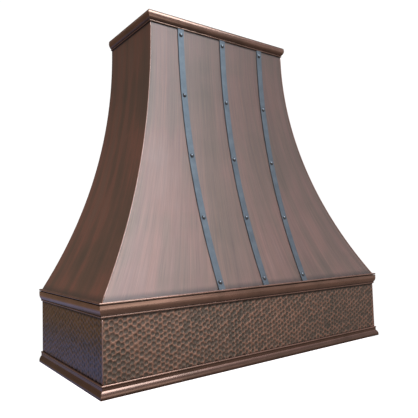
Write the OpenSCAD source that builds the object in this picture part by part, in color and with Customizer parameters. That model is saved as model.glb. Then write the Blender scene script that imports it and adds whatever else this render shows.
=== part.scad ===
// Copper range hood: swept body with iron straps, hammered apron, applied mouldings,
// stainless liner with baffle filters, lamps and controls, and a centrifugal blower.
// +Z is up, the wall is the plane y = 0, the room is towards -Y, z = 0 is the lower edge.

/* [Hood] */
// Overall width, over the base moulding
hood_w = 1219; // [1016:1:1524]
// Overall depth, from the wall to the front of the base moulding
hood_d = 533; // [444:1:680]
// Overall height
hood_h = 1219; // [1016:1:1524]
// Thickness of the copper sheet
sheet_t = 1.5; // [1:0.1:2.5]

/* [Body] */
// Width of the body at its head
throat_w = 631; // [520:1:800]
// Depth of the body at its head
throat_d = 317; // [290:1:380]

/* [Mouldings] */
// Height of the base moulding
base_h = 36; // [30:0.5:48]
// Overhang of the base moulding past the apron
base_over = 12; // [10:0.5:16]
// Height of the hammered apron between its mouldings
apron_h = 176; // [145:1:260]
// Height of the mid moulding
mid_h = 42; // [36:0.5:55]
// Overhang of the mid moulding
mid_over = 11.5; // [8:0.5:14]
// Height of the crown
crown_h = 37; // [32:0.5:50]
// Overhang of the crown
crown_over = 13; // [9:0.5:16]

/* [Straps] */
// Width of a strap
strap_w = 25; // [16:0.5:40]
// Thickness of a strap
strap_t = 3; // [2:0.5:6]
// Distance between strap centres
strap_pitch = 191; // [120:1:240]
// Diameter of a rivet head
rivet_d = 16; // [10:0.5:22]
// Rise of a rivet head
rivet_rise = 5; // [3:0.5:8]
// Diameter of a rivet shank
rivet_shank = 6; // [4:0.5:8]
// Rivets in each strap
rivet_n = 5; // [3:1:8]
// Top rivet below the crown
rivet_top = 22; // [14:1:60]
// Bottom rivet above the mid moulding
rivet_foot = 21; // [14:1:60]

/* [Frame] */
// Leg of the angle iron
angle_leg = 30; // [24:1:40]
// Thickness of the angle iron
angle_t = 3; // [2:0.5:5]
// Flat leg of the soffit's angle
soffit_leg = 16; // [14:0.5:17]
// Upright leg of the soffit's angle
soffit_rise = 24; // [16:1:30]
// Distance between the wall screws, one stud bay
stud_pitch = 406.4; // [300:0.2:480]
// Diameter of the holes for the wall screws
wall_hole = 9; // [7:0.5:12]

/* [Liner] */
// Height of the liner's soffit above the lower edge
soffit_z = 26; // [22:0.5:34]
// Thickness of the stainless sheet
liner_t = 1.2; // [0.8:0.1:2]
// Width of the front strip, which holds lamps and controls
front_strip = 100; // [90:1:130]
// Width of the rear strip, which holds the grease cup
rear_strip = 70; // [64:1:90]
// Width of the side strips
side_strip = 60; // [45:1:120]
// Height of the liner walls above the soffit
liner_wall = 92; // [80:1:110]

/* [Filters] */
// Height of a filter's frame
filter_t = 24; // [20:1:30]
// Width of a filter's rails
filter_rail = 12; // [8:1:18]
// Gap between filters and to the liner
filter_gap = 6; // [5:0.5:10]
// Gap in front of the filters
filter_front_gap = 2.5; // [2:0.5:5]
// Underside of the filters above the soffit
filter_rise = 62; // [50:1:70]
// Width of a baffle
baffle_w = 24; // [18:1:30]
// Height of a baffle
baffle_h = 9; // [7:0.5:9]
// Distance between baffles
baffle_pitch = 34; // [30:1:40]
// Thickness of the baffle sheet
baffle_t = 0.8; // [0.6:0.1:1.2]
// Diameter of the hinge rod at the rear of the filters
rod_d = 6; // [5:0.5:8]
// Distance from the liner's rear wall to the hinge rod
rod_y = 16; // [16:0.5:22]
// Radial clearance between a pin and its bore
pin_clear = 0.05; // [0.02:0.01:0.1]

/* [Lamps and controls] */
// Diameter of a lamp's opening
lamp_d = 64; // [50:1:72]
// Distance between the centres of neighbouring lamps
lamp_pitch = 270; // [250:1:290]
// Lamps in the front strip
lamp_n = 4; // [2:2:4]
// Diameter of a knob
knob_d = 30; // [22:1:36]
// Height of a knob
knob_h = 15; // [10:1:18]
// Distance between the knobs
knob_pitch = 76; // [60:1:100]
// Diameter of a knob's shaft
knob_shaft = 6; // [5:0.5:8]

/* [Grease cup] */
// Length of the cup
cup_w = 180; // [120:1:260]
// Depth of the cup from front to back
cup_d = 36; // [28:1:38]
// Height of the cup
cup_h = 24; // [18:1:34]
// Clearance round the cup
cup_gap = 0.5; // [0.3:0.1:1]

/* [Blower] */
// Radius of the impeller
impeller_r = 100; // [84:1:104]
// Width of the impeller
impeller_w = 170; // [140:1:190]
// Blades on the impeller
blade_n = 36; // [24:1:48]
// Diameter of the motor shaft
shaft_d = 10; // [8:0.5:12]
// Radius of the motor
motor_r = 48; // [40:1:56]
// Length of the motor
motor_l = 97; // [80:1:100]
// Thickness of the blower's sheet
blower_t = 1.2; // [1:0.1:2]
// Space inside the scroll between its cheeks
scroll_w = 200; // [180:1:204]
// Height of the blower's axis above the mid moulding
blower_rise = 306; // [240:1:370]
// Radius of the scroll behind its tongue
scroll_r = 118; // [112:1:124]
// Growth of the scroll's radius at each quarter turn
scroll_step = 14; // [8:1:16]
// Height of the outlet above the axis
outlet_h = 190; // [150:1:200]

/* [Duct] */
// Outside diameter of the duct collar
duct_d = 252; // [200:1:260]
// Thickness of the collar
duct_t = 1.5; // [1:0.1:2]
// Length of the collar above the top plate
duct_rise = 30; // [20:1:40]
// Thickness of the collar's flange, which rests on the top plate
flange_t = 2; // [1.5:0.5:4]
// Step in the collar's radius below its flange
collar_step = 0.8; // [0.6:0.1:1]
// Diameter of the damper's pin
damper_pin_d = 5; // [4:0.5:6]
// Thickness of a damper flap
flap_t = 1; // [0.8:0.1:1.5]
// Gap between a flap and the collar
flap_gap = 2.5; // [2:0.5:5]

/* [Hidden] */
$fn = 64;
fine = 720;
eps = 0.01;
far = 3000;

apron_w = hood_w - 2 * base_over;
apron_d = hood_d - base_over;
body_z0 = base_h + apron_h + mid_h;
body_z1 = hood_h - crown_h;
inner_w = apron_w - 2 * sheet_t;
inner_d = apron_d - sheet_t;
head_w = throat_w - 2 * sheet_t;
head_d = throat_d - sheet_t;

// Radius of an arc that leaves the vertical and spreads by `spread` over `rise`.
function sweep_r(rise, spread) = (rise * rise + spread * spread) / (2 * spread);
sweep_x = sweep_r(body_z1 - body_z0, (apron_w - throat_w) / 2);
sweep_y = sweep_r(body_z1 - body_z0, apron_d - throat_d);

cav_front = inner_d - front_strip;
cav_rear = sheet_t + rear_strip;
cav_half = inner_w / 2 - side_strip;
filter_z0 = soffit_z + filter_rise;
rod_z = filter_z0 + filter_t / 2;
rod_at = cav_rear + rod_y;
filter_n = 3;
filter_w = (2 * cav_half - (filter_n + 1) * filter_gap) / filter_n;
filter_front = cav_front - filter_front_gap;
filter_rear = rod_at + rod_d / 2 + 4;
filter_x = [for (i = [-1, 0, 1]) i * (filter_w + filter_gap)];
knuckle_r = rod_d / 2 + 2.5;
strip_mid = inner_d - front_strip / 2 - 4;
lamp_x = [for (i = [0 : lamp_n - 1]) (i - (lamp_n - 1) / 2) * lamp_pitch];
plate_w = knob_pitch + 94;
plate_d = 56;
plate_t = 1.5;
cup_mid = rear_strip / 2 + sheet_t + 10;

duct_y = throat_d / 2;
scroll_c = scroll_r + 2 * scroll_step;
outlet_w = scroll_step + scroll_c;
axis_y = -duct_y - outlet_w / 2;
axis_z = body_z0 + blower_rise;
outlet_z = axis_z + outlet_h;
cheek_x = scroll_w / 2 + blower_t;
inlet_r = impeller_r - 18;
bell_r = 8;
bracket_x = cheek_x + bell_r + 2;
foot_r = inlet_r + bell_r + 16;
plate_z = body_z1 + 2;
collar_top = plate_z + plate_t + duct_rise;
flap_r = duct_d / 2 - duct_t - flap_gap;
damper_z = collar_top - flap_r - 10;
collar_z0 = damper_z - 16;
post_w = 30;
post_d = 25;
post_t = 2.5;
waist_z1 = body_z0 - 10;
ear_z = [-60, outlet_h - 64];
ear_h = 30;
bolt_d = 6;
bolt_y = sheet_t + post_d / 2;
gland_d = 20;
box_at = [-(stud_pitch / 2 + 30), body_z1 - 430];
box_size = [100, 45, 100];
screw_d = 4;

// Runs a 2D section (outwards, up) along X, with `outwards` towards -Y.
module along_x(length) {
    rotate([90, 0, -90]) linear_extrude(length, center = true) children();
}

// Runs a 2D section (x, z) from the wall plane towards -Y.
module from_wall(length) {
    rotate([90, 0, 0]) linear_extrude(length) children();
}

// A cylinder along X, centred on x.
module bar_x(r, length) {
    rotate([0, 90, 0]) cylinder(r = r, h = length, center = true);
}

// ---- body ----

// The body seen from the front, `inset` inside its outer face.
module front_outline(inset = 0) {
    difference() {
        translate([-apron_w / 2, body_z0]) square([apron_w, body_z1 - body_z0]);
        for (s = [-1, 1]) translate([s * (throat_w / 2 + sweep_x), body_z1])
            circle(r = sweep_x + inset, $fn = fine);
    }
    translate([-throat_w / 2 + inset, body_z1])
        square([throat_w - 2 * inset, hood_h - body_z1]);
}

// The section, outwards and up, of a sheet that lies on a swept face, from depth `a` to
// depth `b` inside the face. `head` is how far out the face stands at its head and `r` the
// radius of its sweep; a negative depth is outside the face.
module swept_layer(head, r, a, b) {
    intersection() {
        translate([0, body_z0]) square([head + r, body_z1 - body_z0]);
        difference() {
            translate([head + r, body_z1]) circle(r = r + b, $fn = fine);
            translate([head + r, body_z1]) circle(r = r + a, $fn = fine);
        }
    }
}

// The space outside a swept face, as far as its head.
module outside_front(depth = 0) {
    translate([0, -throat_d - sweep_y, body_z1])
        rotate([0, 90, 0]) cylinder(r = sweep_y + depth, h = far, center = true, $fn = fine);
}
module outside_sides() {
    for (s = [-1, 1]) translate([s * (throat_w / 2 + sweep_x), 0, body_z1])
        rotate([90, 0, 0]) cylinder(r = sweep_x, h = far, center = true, $fn = fine);
}

// How far round the front's sweep each rivet is: equal steps from the top one to the bottom one.
rivet_a0 = asin(rivet_top / sweep_y);
rivet_a1 = asin((body_z1 - body_z0 - rivet_foot) / sweep_y);
function rivet_angle(i) = rivet_a0 + i * (rivet_a1 - rivet_a0) / (rivet_n - 1);

// Puts children on the front's outer face at every rivet, with +Z pointing outwards.
module at_rivets(xs) {
    for (x = xs, i = [0 : rivet_n - 1]) {
        translate([x, -throat_d - sweep_y, body_z1])
            rotate([-rivet_angle(i), 0, 0]) translate([0, sweep_y, 0]) rotate([90, 0, 0]) children();
    }
}
strap_x = [-strap_pitch, 0, strap_pitch];

module front_panel() color("rosybrown") difference() {
    union() {
        difference() {
            along_x(apron_w) swept_layer(throat_d, sweep_y, 0, sheet_t);
            outside_sides();
        }
        translate([-throat_w / 2, -throat_d, body_z1]) cube([throat_w, sheet_t, crown_h]);
    }
    at_rivets(strap_x) cylinder(r = rivet_shank / 2 + pin_clear, h = 20, center = true);
}

module side_panel() color("sienna") {
    difference() {
        from_wall(apron_d) swept_layer(throat_w / 2, sweep_x, 0, sheet_t);
        outside_front(sheet_t);
    }
    translate([throat_w / 2 - sheet_t, -head_d, body_z1]) cube([sheet_t, head_d, crown_h]);
}

module rear_panel() color("peru") difference() {
    from_wall(sheet_t) {
        front_outline(sheet_t);
        translate([-inner_w / 2, 0]) square([inner_w, body_z0]);
    }
    wall_holes();
    translate([box_at[0], 0, box_at[1]]) rotate([90, 0, 0])
        cylinder(d = gland_d + 2 * pin_clear, h = 20, center = true);
}

// ---- apron ----

module apron_front() color("saddlebrown")
    translate([-apron_w / 2, -apron_d, 0]) cube([apron_w, sheet_t, body_z0]);

module apron_side() color("saddlebrown")
    translate([inner_w / 2, -inner_d, 0]) cube([sheet_t, inner_d, body_z0]);

// ---- mouldings: sections are (outwards, up) from the face they stand on ----

module crown_section() {
    band = 4;
    belly_r = 26;
    belly_drop = 7;
    bead_r = 2.6;
    square([2, crown_h]);
    translate([0, crown_h - band]) square([crown_over - 0.8 - band / 2, band]);
    translate([crown_over - 0.8 - band / 2, crown_h - band / 2]) circle(d = band);
    intersection() {
        translate([0, bead_r]) square([crown_over, crown_h - band - bead_r]);
        translate([crown_over - belly_r, crown_h - band - belly_drop])
            circle(r = belly_r, $fn = 180);
    }
    translate([2.2, bead_r]) circle(r = bead_r);
}

module mid_section() {
    bead_r = 3;
    foot_r = 2.8;
    nose_r = 30;
    groove = 1.6;
    nose_z = mid_h - 18;
    face = mid_over - 0.8;
    square([3, mid_h]);
    translate([mid_over - bead_r, mid_h - bead_r]) circle(r = bead_r);
    translate([0, mid_h - 2 * bead_r]) square([mid_over - bead_r, 2 * bead_r]);
    translate([0, nose_z]) square([face, mid_h - 2 * bead_r - groove - nose_z]);
    intersection() {
        translate([0, foot_r]) square([face, nose_z - foot_r + eps]);
        translate([face - nose_r, nose_z]) circle(r = nose_r, $fn = 180);
    }
    translate([2.6, foot_r]) circle(r = foot_r);
}

module base_section() {
    bead_r = 2.8;
    torus_r = 22;
    torus_z = 5;
    square([4.5, base_h - bead_r]);
    translate([3.2, base_h - bead_r]) circle(r = bead_r);
    translate([0, base_h - 2 * bead_r]) square([3.2, 2 * bead_r]);
    intersection() {
        square([base_over, base_h - 2 * bead_r]);
        translate([base_over - torus_r, torus_z]) circle(r = torus_r, $fn = 120);
    }
}

// A straight length across the front, mitred at both ends.
module front_run(width, depth, z) {
    m = 30;
    intersection() {
        translate([0, -depth, z]) along_x(width + 2 * m) children();
        translate([0, 0, z - 1]) linear_extrude(100) polygon([[-width / 2, -depth],
            [-width / 2 - m, -depth - m], [width / 2 + m, -depth - m], [width / 2, -depth]]);
    }
}

// A straight length down the right side, mitred in front and square at the wall.
module side_run(width, depth, z) {
    m = 30;
    intersection() {
        translate([width / 2, 0, z]) from_wall(depth + m) children();
        translate([0, 0, z - 1]) linear_extrude(100) polygon([[width / 2, 0],
            [width / 2 + m, 0], [width / 2 + m, -depth - m], [width / 2, -depth]]);
    }
}

module crown_front() color("brown") front_run(throat_w, throat_d, body_z1) crown_section();
module crown_side() color("brown") side_run(throat_w, throat_d, body_z1) crown_section();
module mid_front() color("chocolate") front_run(apron_w, apron_d, body_z0 - mid_h) mid_section();
module mid_side() color("chocolate") side_run(apron_w, apron_d, body_z0 - mid_h) mid_section();
module base_front() color("brown") front_run(apron_w, apron_d, 0) base_section();
module base_side() color("brown") side_run(apron_w, apron_d, 0) base_section();

// ---- straps ----

module strap(x) color("slategray") difference() {
    translate([x, 0, 0]) along_x(strap_w) swept_layer(throat_d, sweep_y, -strap_t, 0);
    at_rivets([x]) cylinder(r = rivet_shank / 2 + pin_clear, h = 40, center = true);
}

// One rivet: domed head outside the strap, shank and upset tail behind the panel.
module rivet() {
    cap_r = (rivet_d * rivet_d / 4 + rivet_rise * rivet_rise) / (2 * rivet_rise);
    lift = strap_t + 0.07;
    translate([0, 0, lift]) rotate_extrude() intersection() {
        square([rivet_d, rivet_rise]);
        translate([0, rivet_rise - cap_r]) circle(r = cap_r);
    }
    translate([0, 0, -sheet_t - 1]) cylinder(d = rivet_shank, h = sheet_t + 1 + lift + 0.5);
    translate([0, 0, -sheet_t - 2.5]) cylinder(d = rivet_shank + 4, h = 2.4);
}

module strap_rivets() color("lightslategray") at_rivets(strap_x) rivet();

// ---- frame ----

// An angle-iron ring: upright legs against the sheet, flat legs inwards at height z_flat.
module angle_ring(w, d, back, z0, z1, z_flat, leg) {
    difference() {
        translate([-w / 2, -d, z0]) cube([w, d - back, z1 - z0]);
        translate([-w / 2 + angle_t, -d + angle_t, z0 - 1])
            cube([w - 2 * angle_t, d - back - 2 * angle_t, z1 - z0 + 2]);
    }
    difference() {
        translate([-w / 2, -d, z_flat]) cube([w, d - back, angle_t]);
        translate([-w / 2 + leg, -d + leg, z_flat - 1])
            cube([w - 2 * leg, d - back - 2 * leg, angle_t + 2]);
    }
}

// The wall screws pass through the rear legs of the top and waist frames.
wall_hole_z = [waist_z1 - angle_leg / 2 - angle_t / 2, plate_z - angle_leg / 2 - angle_t / 2];
module wall_holes() {
    for (s = [-1, 1], z = wall_hole_z) translate([s * stud_pitch / 2, 0, z])
        rotate([90, 0, 0]) cylinder(d = wall_hole, h = 30, center = true);
}

module top_frame() color("dimgray") difference() {
    angle_ring(head_w, head_d, sheet_t, plate_z - angle_leg, plate_z, plate_z - angle_t,
        angle_leg);
    wall_holes();
    at_rivets(strap_x) cylinder(d = rivet_shank + 5, h = 20, center = true);
    translate([0, -duct_y, 0]) cylinder(d = duct_d + 8, h = far);
}

module waist_frame() color("dimgray") difference() {
    angle_ring(inner_w, inner_d, sheet_t, waist_z1 - angle_leg, waist_z1, waist_z1 - angle_t,
        angle_leg);
    wall_holes();
}

module base_frame() color("dimgray") difference() {
    angle_ring(inner_w, inner_d, sheet_t, soffit_z + liner_t, soffit_z + liner_t + soffit_rise,
        soffit_z + liner_t, soffit_leg);
    liner_screw_holes();
}

module rear_posts() color("gray") difference() {
    for (s = [-1, 1]) translate([s * (cheek_x + post_w / 2), -sheet_t - post_d / 2, waist_z1])
        difference() {
            translate([-post_w / 2, -post_d / 2, 0])
                cube([post_w, post_d, plate_z - angle_leg - waist_z1]);
            translate([-post_w / 2 + post_t, -post_d / 2 - 1, -1])
                cube([post_w - 2 * post_t, post_d - post_t + 1, far]);
        }
    at_blower_bolts() bar_x(bolt_d / 2 + pin_clear, 60);
}

module top_plate() color("silver") difference() {
    translate([-head_w / 2, -head_d, plate_z]) cube([head_w, head_d - sheet_t, plate_t]);
    translate([0, -duct_y, 0]) cylinder(d = duct_d + 0.6, h = far, $fn = 180);
}

// ---- liner ----

screw_inset = 10;
screw_at = concat(
    [for (i = [-2 : 2], y = [inner_d - screw_inset, sheet_t + screw_inset])
        [i * (inner_w - 60) / 4, -y]],
    [for (s = [-1, 1], y = [cav_front - 20, cav_rear + 20])
        [s * (inner_w / 2 - screw_inset), -y]]);

module liner_screw_holes() {
    for (p = screw_at) translate([p[0], p[1], 0])
        cylinder(r = screw_d / 2 + pin_clear, h = soffit_z + 10);
}

module liner_front() color("lightgray") difference() {
    union() {
        translate([-inner_w / 2 + 0.5, -inner_d + 0.5, soffit_z])
            cube([inner_w - 1, front_strip - 0.5, liner_t]);
        translate([-cav_half - liner_t, -cav_front - liner_t, soffit_z])
            cube([2 * (cav_half + liner_t), liner_t, liner_wall]);
    }
    liner_screw_holes();
    for (x = lamp_x) translate([x, -strip_mid, 0]) cylinder(d = lamp_d, h = soffit_z + 20);
    for (s = [-1, 1]) translate([s * knob_pitch / 2, -strip_mid, 0])
        cylinder(d = knob_shaft + 2, h = soffit_z + 20);
    at_catches() rotate([90, 0, 0]) cylinder(d = 8 + 2 * pin_clear, h = 20, center = true);
}

module liner_rear() color("lightgray") difference() {
    union() {
        translate([-inner_w / 2 + 0.5, -cav_rear, soffit_z])
            cube([inner_w - 1, rear_strip - 0.5, liner_t]);
        translate([-cav_half - liner_t, -cav_rear, soffit_z])
            cube([2 * (cav_half + liner_t), liner_t, liner_wall]);
        for (s = [-1, 1]) translate([s * (filter_w + filter_gap) / 2, -cav_rear, rod_z])
            rod_tab();
    }
    liner_screw_holes();
    translate([0, -rod_at, rod_z]) bar_x(rod_d / 2 + pin_clear, far);
    translate([-cup_w / 2 - cup_gap, -cup_mid - cup_d / 2 - cup_gap, 0])
        cube([cup_w + 2 * cup_gap, cup_d + 2 * cup_gap, soffit_z + 20]);
}

// A tab on the liner's rear wall that carries the hinge rod between two filters.
module rod_tab() {
    tab_t = filter_gap / 2;
    translate([-tab_t / 2, -rod_y, -rod_d]) cube([tab_t, rod_y + eps, 2 * rod_d]);
    translate([0, -rod_y, 0]) bar_x(rod_d, tab_t);
}

module liner_side() color("lightgray") difference() {
    union() {
        translate([cav_half, -cav_front, soffit_z])
            cube([side_strip - 0.5, cav_front - cav_rear, liner_t]);
        translate([cav_half, -cav_front, soffit_z])
            cube([liner_t, cav_front - cav_rear, liner_wall]);
    }
    liner_screw_holes();
    translate([0, -rod_at, rod_z]) bar_x(rod_d / 2 + pin_clear, far);
}

// ---- filters ----

handle_w = 60;
handle_drop = 20;
handle_d = 5;

module filter_frame(x) color("silver") translate([x, 0, 0]) {
    difference() {
        translate([-filter_w / 2, -filter_front, filter_z0])
            cube([filter_w, filter_front - filter_rear, filter_t]);
        translate([-filter_w / 2 + filter_rail, -filter_front + filter_rail, 0])
            cube([filter_w - 2 * filter_rail, filter_front - filter_rear - 2 * filter_rail, far]);
        translate([-filter_w / 2 + liner_t, -filter_front + liner_t, filter_z0 + liner_t])
            cube([filter_w, filter_front - filter_rear, filter_t] - 2 * liner_t * [1, 1, 1]);
    }
    for (s = [-1, 1]) translate([s * (filter_w / 2 - 40), -rod_at, rod_z]) difference() {
        union() {
            bar_x(knuckle_r, 30);
            translate([-15, -(filter_rear - rod_at) - 1, -knuckle_r])
                cube([30, filter_rear - rod_at + 1, knuckle_r]);
        }
        bar_x(rod_d / 2 + pin_clear, 40);
    }
    translate([0, -filter_front + filter_rail / 2, filter_z0]) {
        for (s = [-1, 1]) translate([s * handle_w / 2, 0, -handle_drop])
            cylinder(d = handle_d, h = handle_drop + liner_t);
        for (s = [-1, 1]) translate([s * handle_w / 2, 0, -handle_drop]) sphere(d = handle_d);
        translate([0, 0, -handle_drop]) bar_x(handle_d / 2, handle_w);
    }
}

// A sheet channel along Y; `up` opens it upwards.
module baffle(length, up) {
    rotate([90, 0, 0]) linear_extrude(length) difference() {
        translate([-baffle_w / 2, 0]) square([baffle_w, baffle_h]);
        translate([-baffle_w / 2 + baffle_t, up ? baffle_t : -1])
            square([baffle_w - 2 * baffle_t, baffle_h + (up ? 0 : 1 - baffle_t)]);
    }
}

module baffles(x) color("gainsboro") {
    room = filter_w - 2 * liner_t;
    n = floor((room - baffle_w) / baffle_pitch) + 1;
    length = filter_front - filter_rear - 2 * liner_t;
    for (i = [0 : n - 1]) translate([x + (i - (n - 1) / 2) * baffle_pitch,
        -filter_rear - liner_t, filter_z0 + 2]) baffle(length, true);
    for (i = [0 : n - 2]) translate([x + (i - (n - 2) / 2) * baffle_pitch,
        -filter_rear - liner_t, filter_z0 + filter_t - 2 - baffle_h]) baffle(length, false);
}

module filter_hinge_rod() color("silver")
    translate([0, -rod_at, rod_z]) bar_x(rod_d / 2, 2 * (cav_half + liner_t) + 6);

module at_catches() {
    for (x = filter_x, s = [-1, 1]) translate([x + s * filter_w / 4, -cav_front, rod_z])
        children();
}

module filter_catches() color("white") at_catches() {
    rotate([90, 0, 0]) cylinder(d = 8, h = 16);
    difference() {
        translate([0, -2.5, 0]) sphere(r = 4);
        rotate([90, 0, 0]) cylinder(d = 12, h = 12);
    }
}

// ---- lamps and controls ----

rim_t = 3;
lens_t = 2;
lens_r = lamp_d / 2 - 2.2;
lamp_lift = 14;
module lamp_rims() color("silver") for (x = lamp_x) translate([x, -strip_mid, soffit_z])
    rotate_extrude($fn = 96) difference() {
        union() {
            translate([0, -rim_t]) square([lamp_d / 2 + 5, rim_t]);
            translate([lamp_d / 2 + 5, -rim_t / 2]) circle(d = rim_t);
            translate([0, -rim_t]) square([lamp_d / 2 - 0.3, rim_t + lamp_lift]);
        }
        translate([0, -far / 2]) square([lens_r - 1.8, far]);
        translate([0, -lens_t]) square([lens_r + 0.2, far]);
    }

module lamp_lenses() color("lightyellow") for (x = lamp_x)
    translate([x, -strip_mid, soffit_z - lens_t]) cylinder(r = lens_r, h = lens_t + 1, $fn = 96);

module lamp_bodies() color("darkgray") for (x = lamp_x)
    translate([x, -strip_mid, soffit_z + lamp_lift]) {
        cylinder(d = lamp_d - 4, h = 26);
        for (i = [0 : 3]) translate([0, 0, 4 + 6 * i]) cylinder(d = lamp_d + 4, h = 2);
    }

module control_plate() color("gray") difference() {
    translate([-plate_w / 2, -strip_mid - plate_d / 2, soffit_z - plate_t])
        cube([plate_w, plate_d, plate_t]);
    for (s = [-1, 1]) translate([s * knob_pitch / 2, -strip_mid, 0])
        cylinder(d = knob_shaft + 2, h = soffit_z + 20);
}

box_h = 34;
module control_box() color("dimgray") difference() {
    translate([-plate_w / 2 + 8, -strip_mid - plate_d / 2 + 4, soffit_z + liner_t])
        cube([plate_w - 16, plate_d - 8, box_h]);
    for (s = [-1, 1]) translate([s * knob_pitch / 2, -strip_mid, soffit_z])
        cylinder(r = knob_shaft / 2 + pin_clear, h = 24);
}

module knob(x) color("black") translate([x, -strip_mid, soffit_z - plate_t - 0.4]) {
    difference() {
        translate([0, 0, -knob_h]) cylinder(d = knob_d, h = knob_h);
        for (i = [0 : 11]) rotate(i * 30) translate([knob_d / 2 + 1.2, 0, -knob_h - 1])
            cylinder(r = 2.2, h = knob_h - 3, $fn = 24);
        translate([-0.8, knob_d / 6, -knob_h - 1]) cube([1.6, knob_d, 1.8]);
    }
    translate([0, 0, -1]) cylinder(d = knob_shaft, h = 23);
}

module grease_cup() color("silver") translate([0, -cup_mid, soffit_z]) {
    difference() {
        union() {
            translate([-cup_w / 2, -cup_d / 2, 0]) cube([cup_w, cup_d, cup_h]);
            translate([-cup_w / 2 - 8, -cup_d / 2 - 3, -liner_t - 0.3])
                cube([cup_w + 16, cup_d + 6, liner_t]);
            translate([-cup_w / 2, -cup_d / 2, -1]) cube([cup_w, cup_d, 2]);
        }
        translate([-cup_w / 2 + liner_t, -cup_d / 2 + liner_t, liner_t])
            cube([cup_w - 2 * liner_t, cup_d - 2 * liner_t, cup_h]);
    }
    translate([0, 0, -liner_t - 0.3 - 5]) cube([40, 3, 10.5], center = true);
}

// ---- blower: sections are (towards the wall, up) from the impeller's axis ----

module along_axis(length) {
    rotate([90, 0, 90]) linear_extrude(length, center = true) children();
}

// Three tangent quarter turns of growing radius, and the outlet; `t` is the wall to leave.
module scroll_shape(t) {
    mid = scroll_r + scroll_step;
    intersection() {
        circle(r = scroll_r - t, $fn = 180);
        translate([-far, 0]) square([far, far]);
    }
    intersection() {
        translate([scroll_step, 0]) circle(r = mid - t, $fn = 180);
        translate([scroll_step - far, -far]) square([far, far]);
    }
    intersection() {
        translate([scroll_step, scroll_step]) circle(r = scroll_c - t, $fn = 180);
        translate([scroll_step, scroll_step - far]) square([far, far]);
    }
    square([scroll_step, scroll_r - t]);
    translate([t, scroll_step]) square([outlet_w - 2 * t, outlet_h - scroll_step + (t > 0 ? 1 : 0)]);
}

module at_axis() {
    translate([0, axis_y, axis_z]) children();
}

module scroll_wrap() color("darkgray") at_axis() along_axis(scroll_w) difference() {
    scroll_shape(0);
    scroll_shape(blower_t);
}

// Puts children at the four bolts that hold the cheeks to the rear posts.
module at_blower_bolts() {
    for (s = [-1, 1], z = ear_z) translate([s * cheek_x, -bolt_y, axis_z + z]) children();
}

module scroll_cheek(feet) color("gray") difference() {
    at_axis() {
        translate([scroll_w / 2 + blower_t / 2, 0, 0]) along_axis(blower_t) difference() {
            union() {
                scroll_shape(0);
                for (v = ear_z) translate([scroll_r - 20, v - ear_h / 2])
                    square([-axis_y - sheet_t - 3 - scroll_r + 20, ear_h]);
            }
            circle(r = inlet_r, $fn = 120);
        }
        translate([cheek_x, 0, 0]) rotate([0, 90, 0]) rotate_extrude($fn = 120)
            intersection() {
                translate([inlet_r + bell_r, 0]) difference() {
                    circle(r = bell_r);
                    circle(r = bell_r - blower_t);
                }
                translate([inlet_r, -blower_t]) square([bell_r, bell_r + blower_t]);
            }
    }
    at_blower_bolts() bar_x(bolt_d / 2 + pin_clear, 20);
    if (feet) at_axis() for (a = foot_angles) rotate([a, 0, 0])
        translate([cheek_x, foot_r, 0]) bar_x(screw_d / 2 + pin_clear, 10);
}
foot_angles = [90, 210, 330];

blade_depth = 9;
rim_w = 2;
blade_gap = 0.05;

// A plate with its hub, a rim at each end, and blades that stand clear of both by blade_gap.
module impeller() color("lightsteelblue") at_axis() {
    hub_l = 28;
    disc_w = 2;
    blade_l = (impeller_w - disc_w) / 2 - rim_w - 2 * blade_gap;
    difference() {
        union() {
            bar_x(impeller_r - 1, disc_w);
            translate([hub_l / 2, 0, 0]) bar_x(shaft_d / 2 + 9, hub_l);
        }
        bar_x(shaft_d / 2 + 0.01, 100);
    }
    for (s = [-1, 1]) {
        translate([s * (impeller_w - rim_w) / 2, 0, 0]) difference() {
            bar_x(impeller_r, rim_w);
            bar_x(impeller_r - blade_depth - 1, 2 * rim_w);
        }
        translate([s * (disc_w / 2 + blade_gap + blade_l / 2), 0, 0]) along_axis(blade_l)
            for (i = [0 : blade_n - 1]) rotate(i * 360 / blade_n)
                translate([impeller_r - blade_depth, 0]) rotate(30) square([blade_depth, 1]);
    }
}

shaft_out = 32;
module motor_shaft() color("white") at_axis()
    translate([shaft_out - (shaft_out + 70) / 2, 0, 0]) bar_x(shaft_d / 2, shaft_out + 70);

motor_face = bracket_x - motor_l;
module motor() color("dimgray") at_axis() difference() {
    union() {
        translate([-bracket_x + motor_l / 2, 0, 0]) bar_x(motor_r, motor_l);
        translate([-motor_face + 2, 0, 0]) bar_x(shaft_d / 2 + 6, 4);
    }
    translate([-motor_face, 0, 0]) bar_x(shaft_d / 2 + pin_clear, 2 * (72 - motor_face));
    for (i = [0 : 11]) rotate([i * 30, 0, 0]) translate([-motor_face - motor_l / 2, motor_r, 0])
        bar_x(2, motor_l - 30);
}

module motor_bracket() color("gray") at_axis() {
    arm = 22;
    difference() {
        translate([-bracket_x - 1.5, 0, 0]) union() {
            bar_x(motor_r - 8, 3);
            for (a = foot_angles) rotate([a, 0, 0])
                translate([-1.5, 0, -arm / 2]) cube([3, foot_r, arm]);
            for (a = foot_angles) rotate([a, 0, 0]) translate([0, foot_r, 0]) bar_x(arm / 2, 3);
        }
        for (a = foot_angles) rotate([a, 0, 0]) translate([-bracket_x, foot_r, 0])
            bar_x(screw_d / 2 + pin_clear, 30);
    }
    for (a = foot_angles) rotate([a, 0, 0])
        translate([-(bracket_x + cheek_x + 1) / 2, foot_r, 0]) difference() {
            bar_x(6, bracket_x - cheek_x + 1);
            bar_x(screw_d / 2 + pin_clear, 30);
        }
}

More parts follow.
